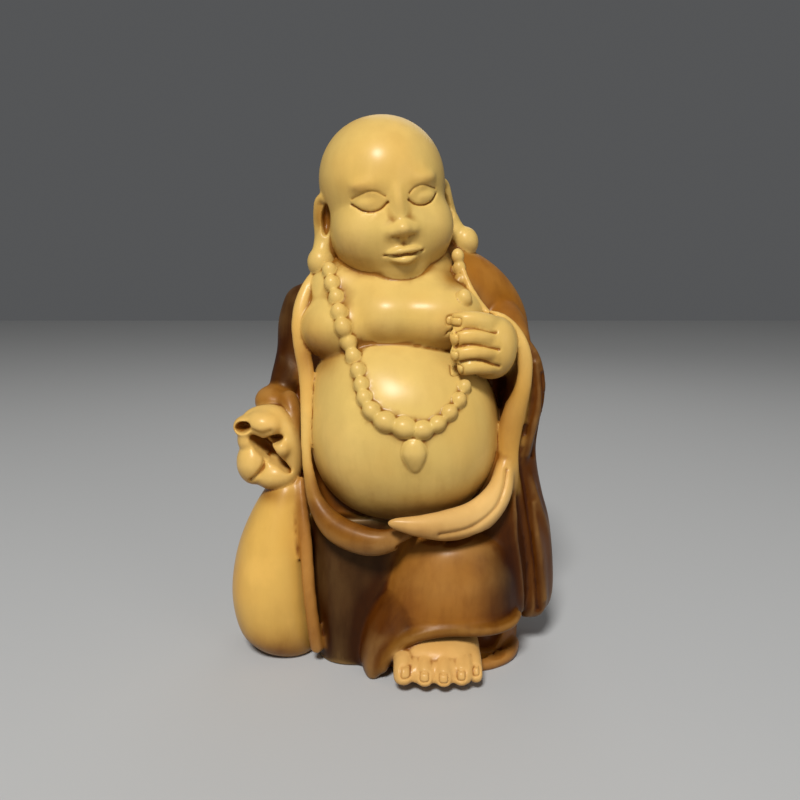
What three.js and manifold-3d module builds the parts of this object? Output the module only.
// A laughing-monk figure, cast in one piece: an open robe over a round belly, a hand with a bead string,
// a tied cloth sack at the other side, and one foot under the hem.
// The figure stands on Z = 0 and looks along -Y, with +X to its left. The geometry is in millimetres.
import * as THREE from 'three';
import { mergeVertices } from 'three/addons/utils/BufferGeometryUtils.js';
import Module from 'manifold-3d';

const wasm = await Module();
wasm.setup();

// Driving size, sole to crown. The pose and the carving are laid out in hundredths of it.
const figureHeight = 385;
const share = figureHeight / 100;

const radians = THREE.MathUtils.degToRad;

// A sphere's grid whose points are placed again by pointAt(turn, way): turn goes once round, 0 to 2 pi,
// and way runs from the first pole, 0, to the last, 1.
function wrap(columns, rows, pointAt) {
  const geometry = new THREE.SphereGeometry(1, columns, rows);
  const { position, uv } = geometry.attributes;
  for (let i = 0; i < position.count; i++) {
    const point = pointAt(2 * Math.PI * uv.getX(i), 1 - uv.getY(i));
    position.setXYZ(i, ...point.map((value) => value * share));
  }
  return geometry;
}

// A smooth curve through rows of numbers: row(way) gives the row at 0 to 1 of the way.
function smoothRows(rows) {
  const columns = rows[0].map(
    (_, k) =>
      new THREE.CatmullRomCurve3(
        rows.map((row, i) => new THREE.Vector3(row[k], i, 0)),
        false,
        'catmullrom'
      )
  );
  return (way) => columns.map((curve) => curve.getPoint(way).x);
}

// Distance from a section's centre to a rounded-square outline of half size 1, at an angle.
const squircle = (angle, power) =>
  (Math.abs(Math.cos(angle)) ** power + Math.abs(Math.sin(angle)) ** power) ** (-1 / power);

// A rounded lump: an ellipsoid, squarer as power grows past 2, turned about X, Y and Z in degrees.
function lump({ at, size, turn = [0, 0, 0], power = 2, columns = 8, rows = 5 }) {
  const rotation = new THREE.Matrix4().makeRotationFromEuler(new THREE.Euler(...turn.map(radians), 'ZYX'));
  return wrap(columns, rows, (angle, way) => {
    const tilt = Math.PI * way;
    const ring = Math.sin(tilt) * squircle(tilt, power) * squircle(angle, power);
    const point = new THREE.Vector3(
      size[0] * ring * Math.cos(angle),
      size[1] * ring * Math.sin(angle),
      size[2] * Math.cos(tilt) * squircle(tilt, power)
    ).applyMatrix4(rotation);
    return [point.x + at[0], point.y + at[1], point.z + at[2]];
  });
}

// A rod along a smooth line with round ends. Each row of the path is x, y, z and the half width there.
// The section is flat times as thick as it is wide, and its thin side looks towards facing.
function rod({ path, flat = 1, facing = [0, -1, 0], columns = 6, rows = 7 }) {
  const line = smoothRows(path);
  const outward = new THREE.Vector3(...facing);
  const nudge = 0.002;
  const centre = (way) => new THREE.Vector3(...line(THREE.MathUtils.clamp(way, 0, 1)));
  let length = 0;
  for (let i = 1; i < path.length; i++) {
    length += new THREE.Vector3(...path[i]).distanceTo(new THREE.Vector3(...path[i - 1]));
  }
  const startCap = path[0][3] / length;
  const endCap = path[path.length - 1][3] / length;
  return wrap(columns, rows, (angle, way) => {
    const along = THREE.MathUtils.clamp(ringPlace(way, startCap, endCap), 0, 1);
    const cap = roundEnd(along / startCap) * roundEnd((1 - along) / endCap);
    const tangent = centre(along + nudge).sub(centre(along - nudge)).normalize();
    const side = new THREE.Vector3().crossVectors(tangent, outward).normalize();
    const front = new THREE.Vector3().crossVectors(side, tangent);
    const width = line(along)[3] * cap;
    const point = centre(along)
      .addScaledVector(side, width * Math.cos(angle))
      .addScaledVector(front, width * flat * Math.sin(angle));
    return [point.x, point.y, point.z];
  });
}

// How wide a round end is, at a share of its own length.
const roundEnd = (part) => Math.sqrt(1 - (1 - THREE.MathUtils.clamp(part, 0, 1)) ** 2);

// Where a rod's rings fall: close together over its round ends, and evenly between them.
const capShare = 0.15;
function ringPlace(way, startCap, endCap) {
  const eased = (part) => 1 - Math.cos((part / capShare) * (Math.PI / 2));
  if (way < capShare) return startCap * eased(way);
  if (way > 1 - capShare) return 1 - endCap * eased(1 - way);
  return THREE.MathUtils.mapLinear(way, capShare, 1 - capShare, startCap, 1 - endCap);
}

// How far a set of folds raises a surface at a height and a bearing. A fold's line is rows of height
// and bearing in degrees, and its side is a bell curve of the given width in degrees.
const foldFade = 8;
function foldRise(folds, height, bearing) {
  let rise = 0;
  for (const { line, width, lift } of folds) {
    const first = line[0];
    const last = line[line.length - 1];
    if (height > first[0] + foldFade || height < last[0] - foldFade) continue;
    let k = 1;
    while (k < line.length - 1 && height < line[k][0]) k++;
    const part = THREE.MathUtils.clamp((height - line[k - 1][0]) / (line[k][0] - line[k - 1][0]), 0, 1);
    const middle = THREE.MathUtils.lerp(line[k - 1][1], line[k][1], part);
    const away = THREE.MathUtils.euclideanModulo(bearing - middle + 180, 360) - 180;
    const past = Math.max(height - first[0], last[0] - height, 0);
    const fade = 1 - past / foldFade;
    rise += lift * fade * Math.exp(-((away / width) ** 2));
  }
  return rise;
}

// A standing mass given by sections from the top down. Each row is height, left, right, front and back.
function mass({ sections, folds = [], power = 2.3, columns = 40, rows = 24 }) {
  const sectionAt = smoothRows(sections);
  return wrap(columns, rows, (angle, way) => {
    const row = way * rows;
    const along = THREE.MathUtils.clamp((row - 1) / (rows - 2), 0, 1);
    const [height, left, right, front, back] = sectionAt(along);
    const middle = [(left + right) / 2, (front + back) / 2];
    if (way < 0.5 / rows || way > 1 - 0.5 / rows) return [...middle, height];
    const bearing = THREE.MathUtils.radToDeg(angle);
    const rise = foldRise(folds, height, bearing);
    const reach = squircle(angle, power);
    return [
      middle[0] + (((right - left) / 2) * reach + rise) * Math.cos(angle),
      middle[1] + (((back - front) / 2) * reach + rise) * Math.sin(angle),
      height,
    ];
  });
}

// Blended distance from a point to several rounded lumps. A lump is x, y, z and its three half sizes.
function distanceTo({ lumps, blend, power }, point) {
  let sum = 0;
  for (const [x, y, z, ...size] of lumps) {
    const from = [point[0] - x, point[1] - y, point[2] - z];
    const powers = from.map((value, k) => Math.abs(value / size[k]) ** power);
    const scaled = powers.reduce((total, value) => total + value) ** (1 / power);
    sum += Math.exp(-(Math.hypot(...from) * (1 - 1 / Math.max(scaled, 1e-6))) / blend);
  }
  return -blend * Math.log(sum);
}

// How far along a way the skin is met from outside, by halving a step, or the way's nearest if it isn't.
function meet(skin, pointAt, outside, nearest = 0, step = 0.5, halvings = 10) {
  let outer = outside;
  while (outer > nearest && distanceTo(skin, pointAt(outer - step)) > 0) outer -= step;
  let inner = outer - step;
  for (let i = 0; i < halvings; i++) {
    const middle = (inner + outer) / 2;
    if (distanceTo(skin, pointAt(middle)) > 0) outer = middle;
    else inner = middle;
  }
  return inner;
}

// Several lumps melted into one closed skin, met along rays from a middle inside it. The rays are even
// all round, or closer together towards the front and the middle height as gather grows towards 1.
function melt({ at, skin, reach = 30, gather = 0, columns = 24, rows = 18 }) {
  return wrap(columns, rows, (angle, way) => {
    const turn = angle - gather * Math.cos(angle);
    const tilt = Math.PI * way + (gather / 4) * Math.sin(2 * Math.PI * way);
    const ray = [Math.sin(tilt) * Math.cos(turn), Math.sin(tilt) * Math.sin(turn), Math.cos(tilt)];
    const along = (length) => ray.map((value, k) => at[k] + value * length);
    return along(meet(skin, along, reach));
  });
}

// The robe's main mass, from the shoulders to the ground.
const robe = {
  sections: [
    [79, -5, 6, 0, 8],
    [77.5, -9.5, 10.5, -1.5, 10],
    [74.5, -14.6, 16.5, -2.5, 12],
    [70.5, -18.2, 21, -3.5, 13.5],
    [65, -20.6, 24.2, -4.5, 15],
    [58, -21.4, 25.3, -5.5, 16.2],
    [50, -21.4, 24.8, -7, 17],
    [40, -21, 24, -8.5, 17.5],
    [30, -20, 24, -10.5, 17.8],
    [18, -19, 24.2, -13, 17.5],
    [7, -18.5, 23.6, -14.5, 16.5],
    [0, -18, 23.4, -15, 15.5],
  ],
  folds: [
    { line: [[70, 40], [50, 60], [20, 72], [0, 78]], width: 7, lift: 1.3 },
    { line: [[72, 75], [50, 92], [25, 96], [0, 98]], width: 7, lift: 1.2 },
    { line: [[70, 120], [45, 118], [20, 116], [0, 114]], width: 8, lift: 1.4 },
    { line: [[66, 150], [45, 142], [20, 136], [0, 132]], width: 6, lift: 1.1 },
    { line: [[48, 165], [25, 158], [0, 152]], width: 6, lift: 1.0 },
    { line: [[40, 30], [20, 40], [0, 48]], width: 6, lift: 0.9 },
  ],
};

// The bare belly, and over it the chest, the breasts and the neck melted together.
const belly = {
  lumps: [
    [0.9, -4, 43, 17.6, 16, 16.8],
    [-2.6, -4, 50.6, 13.6, 12.4, 10.4],
  ],
  blend: 0.7,
  power: 2.25,
};
const chest = {
  lumps: [
    [-1, -1.6, 65.2, 14.6, 9.4, 9],
    [-10.6, -4.6, 62, 7.7, 7.8, 6.2],
    [6, -5.4, 64.2, 9.4, 8, 6.2],
    [-2, -4.6, 64.4, 8, 8.8, 6.2],
    [-0.6, 1, 73, 11, 8.4, 6],
    [-10, -2, 69, 7, 6, 5.5],
  ],
  blend: 0.7,
  power: 2.1,
};

// The drape of cloth over the bent knee, the corner that it trails to the ground, its rounded hem, the
// cloth beside it under the sleeve, and the flat of cloth between it and the sack.
const knee = {
  sections: [
    [26.4, 3.4, 17, -11.4, 0],
    [25.2, 1.4, 19, -14.4, 3],
    [23.6, 0, 20.4, -16.6, 4],
    [20.6, -1.8, 21.6, -18, 4.5],
    [17.4, -3.4, 22.4, -18.9, 5],
    [13.6, -4.8, 22.8, -19.2, 5],
    [11.8, -5.4, 22.9, -19.2, 5],
    [10.6, -5.8, 22.9, -19.4, 5],
    [9.4, -6.2, 22.6, -19.4, 5],
  ],
  power: 2.2,
};
const kneeCorner = {
  sections: [
    [18, -1.6, 9, -15, -4],
    [14, -4, 9, -17, -5],
    [10, -6, 8, -18.4, -6],
    [8.6, -6.4, 4.6, -18.8, -6],
    [7, -6.8, 1.2, -19, -6],
    [5, -7.2, -0.9, -19.1, -6],
    [2.4, -7.4, -2.2, -19.2, -6],
    [0, -6.8, -2.8, -19, -6],
  ],
  power: 2.1,
};
const kneeHem = {
  path: [
    [-3.4, -18.3, 1.2, 1], [-2.1, -18.5, 4.4, 1.1], [0, -18.7, 7, 1.25], [3.5, -18.9, 8.9, 1.3],
    [8.7, -19, 9.8, 1.25], [13.7, -18.8, 9.6, 1.2], [17.3, -17.9, 9.5, 1.1], [20.3, -16.2, 9.9, 1],
    [22.1, -13.4, 10.8, 0.8],
  ],
  columns: 5,
  rows: 9,
};
const sideDrape = {
  sections: [
    [44, 12, 21.8, -9, 4],
    [34, 12, 22.6, -11.4, 4],
    [26, 12, 23.4, -13, 4],
    [18, 12, 24, -14, 4],
    [11, 12, 24, -14.4, 4],
    [8.4, 12, 23.4, -13.6, 4],
  ],
};
const frontDrape = {
  sections: [
    [28, -17, 4, -11.6, 0],
    [18, -17, 4, -13.3, 0],
    [8, -16.4, 2, -13.9, 0],
    [0, -15.6, 0, -13.9, 0],
  ],
};

// The low rim of the base beside the foot, with a hollow between it and the hem.
const baseRim = {
  path: [[12.8, -15.4, 0.6, 1.1], [17.2, -13.8, 0.8, 1.3], [20.6, -10.6, 1, 1.4], [22.3, -5, 1.2, 1.4]],
};
const baseHollow = { at: [17.8, -13.4, 5.4], size: [4.6, 4.4, 3.8] };
// The deep shade between the knee and the rolled edge above it.
const kneeHollows = [
  { at: [4.6, -17.6, 25], size: [5.4, 4.6, 1.1], turn: [0, -4, 0] },
  { at: [12.8, -16.4, 26], size: [5.6, 4.4, 1.1], turn: [0, -16, 0] },
];

// The tied sack on the ground, with the ridge where its cloth meets the robe.
const sack = {
  sections: [
    [34.4, -22.6, -18.6, -8.4, -1],
    [32.4, -25, -17.4, -10, 2],
    [27, -28.4, -16.6, -12, 5],
    [20, -31.2, -16.4, -13.8, 7.5],
    [12, -32.4, -16, -14.6, 8.5],
    [5, -31.4, -15.4, -13.8, 8],
    [1.6, -29, -15.4, -12.2, 7],
    [0, -26, -16, -10.4, 5],
  ],
};
const sackRidge = {
  path: [
    [-18.4, -7.6, 35, 0.8], [-17.9, -9.8, 30, 1.1], [-17.2, -11.9, 24, 1.25], [-16.7, -13, 15.2, 1.3],
    [-16, -13, 7.5, 1.3], [-15.4, -12.4, 2, 1.3],
  ],
  rows: 10,
};

// The open mouth of the sack above its tie: a soft shell, a rolled rim, and lobes around a deep cleft.
const sackMouth = {
  shell: { at: [-24.3, -4.4, 40], size: [5.3, 5, 7.6], turn: [0, -4, 0], power: 2.4, columns: 10, rows: 6 },
  rim: {
    path: [
      [-28.6, -6.4, 45, 1.5], [-26, -6.2, 46.2, 1.7], [-22.8, -6.4, 45.8, 2.1], [-20.6, -6.8, 42.4, 2.2],
      [-20.2, -6.8, 38, 2.1], [-20.6, -6.6, 34, 2],
    ],
    rows: 10,
  },
  lobes: [
    { at: [-28.5, -7.6, 44.3], size: [2.1, 2.6, 2] },
    { at: [-24.8, -7.4, 44.8], size: [3.6, 3.4, 2.6], turn: [0, 10, 0] },
    { at: [-21.6, -7.6, 40.4], size: [1.9, 2.8, 2.2] },
    { at: [-28.2, -6.6, 41.6], size: [1.9, 2.8, 2.4] },
    { at: [-27.1, -6, 37.2], size: [3.4, 4.2, 4.3] },
    { at: [-23, -6.4, 35], size: [4.4, 4, 3.1] },
  ],
  clefts: [
    { at: [-24.6, -10, 40.1], size: [4, 6.4, 1.4], turn: [0, 44, 0] },
    { at: [-21.9, -9.6, 37.6], size: [2.7, 6, 0.65], turn: [0, 44, 0] },
    { at: [-23.2, -10, 42], size: [2.1, 5.4, 0.9], turn: [0, -14, 0] },
    { at: [-28.6, -10.2, 44.4], size: [1.65, 4, 1.15], turn: [0, -12, 0] },
  ],
};

// The arm that reaches back to the sack: a full sleeve, its rolled cuff and the fold in front of it.
const farArm = {
  upper: {
    path: [[-16.6, 4.5, 69.6, 4.4], [-19, 4.8, 62.5, 4.6], [-20.2, 3.8, 56, 3.9], [-22.6, 0.8, 47, 3.6]],
    columns: 8,
  },
  cuff: { at: [-23.6, -1, 47.4], size: [4.2, 4.2, 3.4], turn: [0, 20, 0] },
  fold: {
    path: [[-21.4, -2.6, 50, 1.8], [-20.2, -5, 47, 1.9], [-19.3, -7, 43.5, 1.2], [-18.9, -7.6, 40, 0.6]],
  },
  elbow: {
    path: [[-22.8, 1.6, 56.6, 1.1], [-20.8, 0.4, 54, 1.4], [-19.6, -0.6, 50.8, 1.2]],
    columns: 5,
    rows: 5,
  },
};

// The rolled edges of the open robe: down past the belly on both sides, and crossed under it.
const collar = {
  far: {
    path: [
      [-13.4, -2, 73.6, 1.1], [-16.2, -3.8, 70.2, 1.4], [-17.8, -5.4, 66, 1.6], [-18.1, -6.4, 62, 1.65],
      [-17.6, -7.2, 58, 1.65], [-16.9, -8, 54, 1.6], [-16.8, -8.9, 49.4, 1.4], [-16.9, -9.7, 44.6, 1.2],
      [-16.9, -10.5, 40, 1.1], [-16.4, -11.4, 36.4, 1.2], [-15, -12.8, 31.4, 1.7], [-11.6, -14.8, 27.4, 2.6],
      [-6.5, -16.6, 25.6, 2.7], [-2.6, -17.2, 25.6, 2.3], [0.4, -15.8, 26.4, 1.8], [3, -13, 27.6, 1.2],
    ],
    rows: 15,
  },
  near: {
    path: [
      [19.2, -9.4, 43, 0.6], [19.1, -10.8, 38.4, 1.5], [17.6, -13.6, 33.4, 2.5], [13.6, -16, 29.8, 3.1],
      [8.4, -18, 28.9, 2.9], [3.6, -19.4, 29.2, 2.1], [-0.4, -20, 29.8, 1.3], [-2.4, -20.2, 30.2, 0.6],
    ],
    columns: 7,
    rows: 10,
  },
  neck: {
    path: [
      [10.6, -2.6, 75.4, 0.7], [12.2, -5.4, 70.4, 0.8], [14.4, -7.6, 66.4, 0.9], [16.8, -8.2, 63.8, 0.9],
    ],
    rows: 8,
  },
};

// The long sleeve on the bead hand's side with its folds, its broad rolled cuff around the wrist, and
// the arm inside it.
const sleeve = {
  sections: [
    [60.6, 18.6, 23.4, -5, 4],
    [59, 18, 24.8, -7.2, 6],
    [57, 17.6, 25.9, -8.4, 7],
    [53, 18, 26.7, -9, 8],
    [48, 17.8, 26.8, -9.2, 8.5],
    [43.6, 17.6, 26, -9.2, 8.5],
    [36, 17.8, 26, -9.2, 8.5],
    [31, 18.2, 27.1, -9.2, 8.5],
    [26, 18.8, 28.5, -9.2, 8.5],
    [20, 19.8, 29.3, -9, 8.4],
    [14, 20.4, 29.7, -8.8, 8],
    [10, 20.8, 29.5, -8.6, 7.6],
    [7.6, 21.2, 28.6, -8, 7],
    [6.4, 22, 27.2, -7, 6],
  ],
  folds: [
    { line: [[40, 262], [26, 268], [12, 274]], width: 10, lift: 0.7 },
    { line: [[44, 318], [30, 322], [8, 330]], width: 14, lift: 0.5 },
    { line: [[24, 290], [14, 296], [8, 300]], width: 10, lift: 0.7 },
    { line: [[50, 40], [25, 45], [8, 50]], width: 14, lift: 0.8 },
  ],
};
const sleeveFolds = {
  middle: {
    path: [
      [23.2, -6.6, 60, 0.5], [24.5, -7.2, 57.4, 0.9], [25.4, -7.6, 53, 1.1], [25.1, -8, 49, 1.2],
      [24.3, -8.5, 45.4, 1.2], [23.4, -9, 41.6, 1.1], [22.8, -9.2, 38, 0.8],
    ],
    columns: 5,
    rows: 8,
  },
  edge: {
    path: [
      [20.2, -10.8, 36, 0.5], [20.7, -11.8, 31, 0.65], [20.9, -12.3, 25, 0.7], [21.7, -12.3, 19.5, 0.7],
      [22.4, -12, 14, 0.7], [22.8, -11.2, 9.4, 0.5],
    ],
    columns: 4,
    rows: 6,
  },
  flap: {
    path: [
      [23.2, -7.9, 38.4, 0.4], [24.2, -8.5, 33.5, 0.95], [25.5, -8.3, 29.4, 1], [27.1, -7.3, 25.2, 0.85],
      [28.2, -6.2, 22, 0.5],
    ],
    columns: 5,
    rows: 6,
  },
};
const nearArm = {
  path: [[15.6, 4, 65.6, 4], [19, 0, 63, 4.1], [20, -4, 60, 4], [20, -7.4, 58, 3.4]],
  columns: 8,
  rows: 6,
};
const cuff = {
  path: [
    [15.4, -9.4, 65.6, 0.6], [18, -10.4, 64.6, 0.8], [20, -10.8, 62.6, 1.05], [21.4, -10.8, 60, 1.3],
    [22.1, -10.6, 57, 1.5], [22.2, -10.4, 54, 1.5], [21.7, -10.2, 51, 1.7], [20.7, -10, 47.7, 2.2],
    [20, -9.8, 44, 2.4], [19.8, -9.8, 40, 2.3], [19.8, -10, 35.8, 2], [20, -10.4, 31, 1.5],
  ],
  flat: 0.8,
  rows: 11,
};
const armHollow = { at: [16.6, -9.6, 51], size: [3, 6, 5], turn: [0, 14, 0] };

// The hand that holds the beads against the chest: its back to the front, four fingers one above another.
const hand = {
  back: { at: [16, -11.8, 59.3], size: [4.5, 3.8, 5.6], turn: [0, 6, -18], power: 2.2, columns: 9, rows: 7 },
  fingers: [
    [[18.2, -10.6, 62, 1.7], [15, -14, 63.7, 1.75], [11.4, -14.9, 64.3, 1.6], [8.6, -14, 64, 1.4]],
    [[18.6, -10.8, 59.6, 1.7], [15, -14.7, 61.3, 1.75], [11.2, -15.6, 61.6, 1.65], [8.5, -14.7, 61, 1.45]],
    [[18.6, -10.8, 57.4, 1.65], [15.2, -14.9, 58.8, 1.7], [11.4, -15.8, 58.9, 1.6], [8.6, -14.9, 58.2, 1.4]],
    [[18.2, -10.6, 55.6, 1.5], [15.4, -14.4, 56.3, 1.55], [12.2, -15.4, 56.4, 1.45], [9.8, -14.9, 55.8, 1.3]],
  ],
  wrist: { path: [[17, -8.6, 58, 3.6], [19, -5, 57, 3.8], [20, -2, 57, 3.8]], rows: 5 },
};

// The bead string, laid on the bare skin in two stretches: each bead is x, z and its half width, and is
// a little longer than wide along the string. A drop hangs from the lowest one.
const beads = {
  strands: [
    [
      [-12.6, 72.4, 1.45], [-12.1, 70.1, 1.5], [-11.2, 67.7, 1.5], [-10.6, 65.3, 1.55], [-9.9, 62.8, 1.6],
      [-9, 60.2, 1.6], [-8.1, 57.7, 1.55], [-7.2, 55.5, 1.45], [-6.6, 53.3, 1.4], [-6, 51.2, 1.45],
      [-4.7, 49.2, 1.65], [-2.4, 47.5, 1.9], [0.7, 46.6, 2], [3.7, 46.2, 1.75], [6.2, 47.1, 1.5],
      [8.3, 48.8, 1.45], [10, 50.7, 1.4], [11, 52.7, 1.35],
    ],
    [[10.5, 75, 1.25], [10.8, 72.8, 1.3], [10.9, 70.4, 1.35], [11.2, 67.7, 1.5]],
  ],
  longer: 1.15,
  sunk: 1.1,
  least: 4,
  drop: [[2.1, 45, 1.2], [2.4, 42.2, 2.1], [2.6, 38.8, 0.7]],
};

// The bare foot, with the big toe on the inner side. Each toe is x across the foot, half width and tip.
const foot = {
  instep: { at: [6.7, -14, 3.8], size: [7.9, 7.6, 4.2], power: 2.7, columns: 10, rows: 6 },
  toes: [
    { at: 0.6, width: 1.8, tip: -23.2 },
    { at: 4.3, width: 1.45, tip: -23.8 },
    { at: 7.6, width: 1.45, tip: -23.9 },
    { at: 10.7, width: 1.4, tip: -23.5 },
    { at: 13.3, width: 1.2, tip: -22.6 },
  ],
  knuckle: 4.6,
  pad: 1.5,
};

// The bald head in its own frame, chin to crown, turned and tilted over the neck. The face is a plain
// calm one on the usual thirds, with lowered lids.
const head = {
  at: [-2.6, -1, 84.76],
  turn: [4, -8, 12],
  middle: [0, 0, -2],
  skull: {
    lumps: [
      [0, 1.4, 3.6, 11.4, 12.4, 11.6],
      [0, -1.6, -4.8, 11, 9.6, 10.2],
      [-5.2, -4.9, -4.8, 5.4, 5.2, 5.6],
      [5.2, -4.9, -4.8, 5.4, 5.2, 5.6],
      [0, -6.2, -11.4, 4.6, 4, 3.4],
      [0, 3, -8, 9, 8, 7],
      [-4.4, -8.6, 3.5, 3.8, 1.7, 1.3],
      [4.4, -8.6, 3.5, 3.8, 1.7, 1.3],
      [0, -10, -0.2, 1, 1.8, 3.8],
      [0, -11.6, -4.4, 1.4, 1.7, 1.3],
      [-1.7, -10.8, -4.8, 1, 1.2, 0.9],
      [1.7, -10.8, -4.8, 1, 1.2, 0.9],
      [0, -9.3, -8.8, 3.4, 1.8, 1.9],
    ],
    blend: 0.5,
    power: 2.05,
  },
  lid: { at: [4.6, -8.7, 0.3], size: [2.8, 1.5, 1.6], turn: [0, 0, 18] },
  lash: {
    path: [[2.2, -10, 0, 0.2], [3.4, -10.4, -0.8, 0.25], [5.8, -10, -0.8, 0.25], [7.2, -8.9, 0.3, 0.2]],
  },
  brow: { path: [[1.7, -10.1, 3.4, 0.3], [4.4, -9.9, 4.6, 0.4], [7.2, -8.3, 4, 0.25]] },
  upperLip: {
    path: [
      [-3.3, -10.6, -8.5, 0.25], [-1.3, -11.6, -8.1, 0.6], [1.3, -11.6, -8.1, 0.6], [3.3, -10.6, -8.5, 0.25],
    ],
  },
  lowerLip: { path: [[-2.6, -10.6, -9.4, 0.25], [0, -11.5, -9.7, 0.75], [2.6, -10.6, -9.4, 0.25]] },
};
const ear = {
  rim: [
    [10.4, -0.6, -0.2, 0.7], [10.9, 0.4, 2, 0.85], [11.9, 1.8, 1.4, 0.95], [12.4, 2.3, -1.6, 1],
    [12.3, 1.5, -4.4, 1.4], [12.5, 0.6, -6.6, 1.9], [13.1, 0, -8.8, 2.2],
  ],
  plate: { at: [10.9, 1.8, -2.2], size: [2.5, 1.9, 4.5], turn: [0, 0, 25], columns: 7 },
  strap: { at: [11.8, 0.6, -6.4], size: [2.2, 1.7, 3.6], turn: [0, 0, 10] },
  drop: { size: 2.5, height: -9.2, depth: -0.2, reach: { far: -13.4, near: 14.2 } },
};

// Everything below the ground is cut away by a block, so that the underside is flat.
const groundCut = { width: 200, depth: 20 };
// The layout's middle, which is moved over the origin.
const layoutMiddle = { x: -1.379, y: -2.742 };

// The union of closed shapes, less some hollows. A shape is a geometry, or a solid joined before.
function join(shapes, hollows = []) {
  const whole = shapes.map(asSolid).reduce((sum, next) => sum.add(next));
  return hollows.map(asSolid).reduce((rest, hollow) => rest.subtract(hollow), whole);
}
function asSolid(shape) {
  if (!shape.isBufferGeometry) return shape;
  shape.deleteAttribute('uv');
  shape.deleteAttribute('normal');
  const merged = mergeVertices(shape, 1e-3);
  return new wasm.Manifold(
    new wasm.Mesh({
      numProp: 3,
      vertProperties: merged.attributes.position.array,
      triVerts: new Uint32Array(merged.index.array),
    })
  );
}
function asGeometry(solid) {
  const { vertProperties, triVerts } = solid.getMesh();
  return new THREE.BufferGeometry()
    .setAttribute('position', new THREE.BufferAttribute(vertProperties, 3))
    .setIndex(new THREE.BufferAttribute(triVerts, 1));
}

// The front of the bare skin at a place seen from the front.
function frontAt(x, z) {
  const forward = (depth) => [x, -depth, z];
  return -Math.max(...[belly, chest].map((skin) => meet(skin, forward, 30, beads.least)));
}

const mirrored = (row) => [-row[0], ...row.slice(1)];

function makeHead() {
  const solids = [melt({ at: head.middle, skin: head.skull, gather: 0.5, columns: 20, rows: 15 })];
  const lines = [];
  solids.push(rod({ ...head.upperLip, columns: 5 }), rod({ ...head.lowerLip, columns: 5, rows: 6 }));
  for (const side of [-1, 1]) {
    const flip = (row) => (side < 0 ? mirrored(row) : row);
    const turned = ([x, y, z]) => [x, y * side, z * side];
    const { size, height, depth, reach } = ear.drop;
    const out = side < 0 ? reach.far : reach.near;
    solids.push(lump({ ...head.lid, at: flip(head.lid.at), turn: turned(head.lid.turn) }));
    solids.push(rod({ path: head.brow.path.map(flip), columns: 5, rows: 6 }));
    solids.push(lump({ ...ear.plate, at: flip(ear.plate.at), turn: turned(ear.plate.turn) }));
    solids.push(lump({ ...ear.strap, at: flip(ear.strap.at), turn: turned(ear.strap.turn), columns: 6 }));
    solids.push(rod({ path: ear.rim.map(flip), facing: [side, 0.4, 0], columns: 6, rows: 10 }));
    solids.push(lump({ at: [out, depth, height], size: [size, size, size * 1.15] }));
    lines.push(rod({ path: head.lash.path.map(flip), columns: 4, rows: 6 }));
  }
  const placed = new THREE.Matrix4()
    .makeRotationFromEuler(new THREE.Euler(...head.turn.map(radians), 'ZYX'))
    .setPosition(...head.at.map((value) => value * share));
  const place = (geometry) => geometry.applyMatrix4(placed);
  return join(solids.map(place), lines.map(place));
}

function makeFoot() {
  const { instep, toes, knuckle, pad } = foot;
  const toePath = ({ at, width, tip }) => [
    [at, -15, knuckle, width],
    [at, tip + 3.8, knuckle, width],
    [at, tip + 1.8, knuckle - 0.7, width],
    [at, tip + 0.8, (knuckle + pad) / 2, width],
    [at, tip + 0.7, pad, width * 0.9],
  ];
  return [lump(instep), ...toes.map((toe) => rod({ path: toePath(toe), facing: [0, 0, 1], rows: 7 }))];
}

function makeHand() {
  const fingers = hand.fingers.map((path) => rod({ path }));
  return [lump(hand.back), rod(hand.wrist), ...fingers];
}

function makeSack() {
  const { shell, rim, lobes, clefts } = sackMouth;
  const body = mass({ ...sack, columns: 14, rows: 9 });
  const [soft, deep] = [lobes, clefts].map((lumps) => lumps.map((each) => lump({ ...each, columns: 7 })));
  const mouth = join([lump(shell), rod(rim), ...soft], deep);
  return join([body, rod(sackRidge), mouth]);
}

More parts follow.
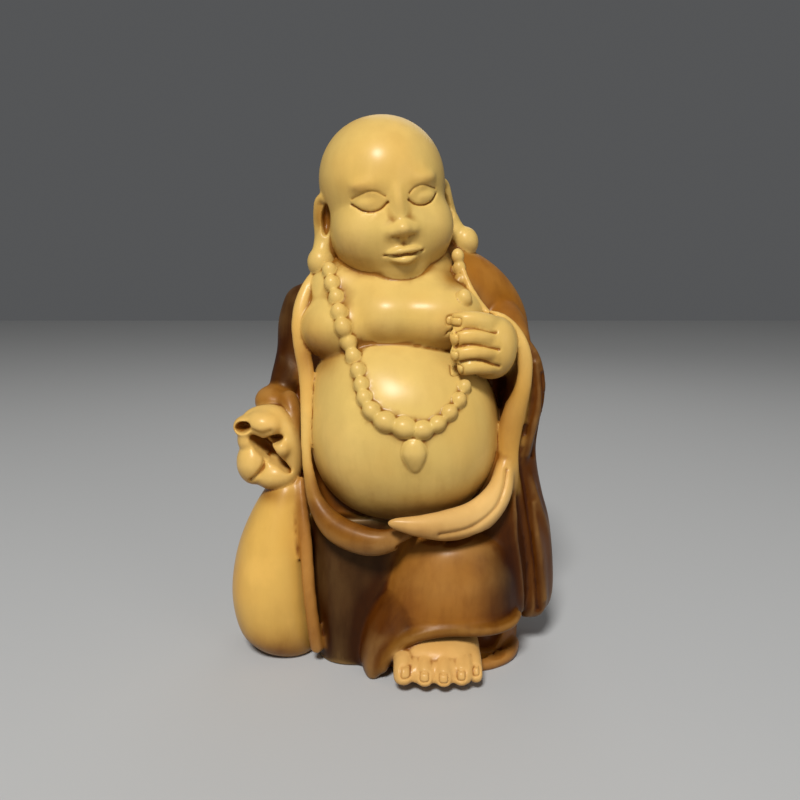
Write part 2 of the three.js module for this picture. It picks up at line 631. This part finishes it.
function makeRobe() {
  const masses = [
    mass({ ...robe, columns: 27, rows: 9 }),
    mass({ ...sleeve, columns: 12, rows: 10 }),
    mass({ ...sideDrape, columns: 10, rows: 5 }),
    mass({ ...frontDrape, columns: 10, rows: 5 }),
    mass({ ...knee, columns: 14, rows: 9 }),
    mass({ ...kneeCorner, columns: 9, rows: 7 }),
  ];
  const arms = [farArm.upper, farArm.fold, farArm.elbow, nearArm];
  const edges = [baseRim, kneeHem, cuff, ...Object.values(collar), ...Object.values(sleeveFolds)];
  const hollows = [armHollow, baseHollow, ...kneeHollows].map(lump);
  return join([...masses, ...[...arms, ...edges].map(rod), lump(farArm.cuff)], hollows);
}

function makeBeads() {
  const { strands, sunk, longer, drop } = beads;
  const balls = strands.flatMap((strand) =>
    strand.map(([x, z, r], i) => {
      const [fromX, fromZ] = strand[Math.max(i - 1, 0)];
      const [toX, toZ] = strand[Math.min(i + 1, strand.length - 1)];
      const heading = THREE.MathUtils.radToDeg(Math.atan2(toX - fromX, toZ - fromZ));
      const at = [x, frontAt(x, z) - r * (1 - sunk), z];
      return lump({ at, size: [r, r, r * longer], turn: [0, heading, 0], columns: 6, rows: 4 });
    })
  );
  const path = drop.map(([x, z, r]) => [x, frontAt(x, z), z, r]);
  return [...balls, rod({ path, flat: 0.6, rows: 6 })];
}

function makeTorso() {
  return [
    melt({ at: belly.lumps[0].slice(0, 3), skin: belly, gather: 0.3, columns: 14, rows: 9 }),
    melt({ at: chest.lumps[0].slice(0, 3), skin: chest, gather: 0.45, columns: 16, rows: 10 }),
  ];
}

function makeFigure() {
  const { width, depth } = groundCut;
  const ground = new THREE.BoxGeometry(width, width, depth).translate(0, 0, -depth / 2);
  ground.scale(share, share, share);
  const carved = [...makeTorso(), ...makeHand(), ...makeFoot(), ...makeBeads()];
  const shapes = [makeRobe(), makeSack(), makeHead(), ...carved];
  const whole = asGeometry(join(shapes, [ground]));
  return whole.translate(-layoutMiddle.x * share, -layoutMiddle.y * share, 0);
}

const stainedClay = new THREE.MeshStandardMaterial({ color: 0xc08a45, roughness: 0.45, metalness: 0 });
const figure = new THREE.Mesh(makeFigure(), stainedClay);
figure.name = 'budai_figure';

const group = new THREE.Group();
group.add(figure);

export default group;
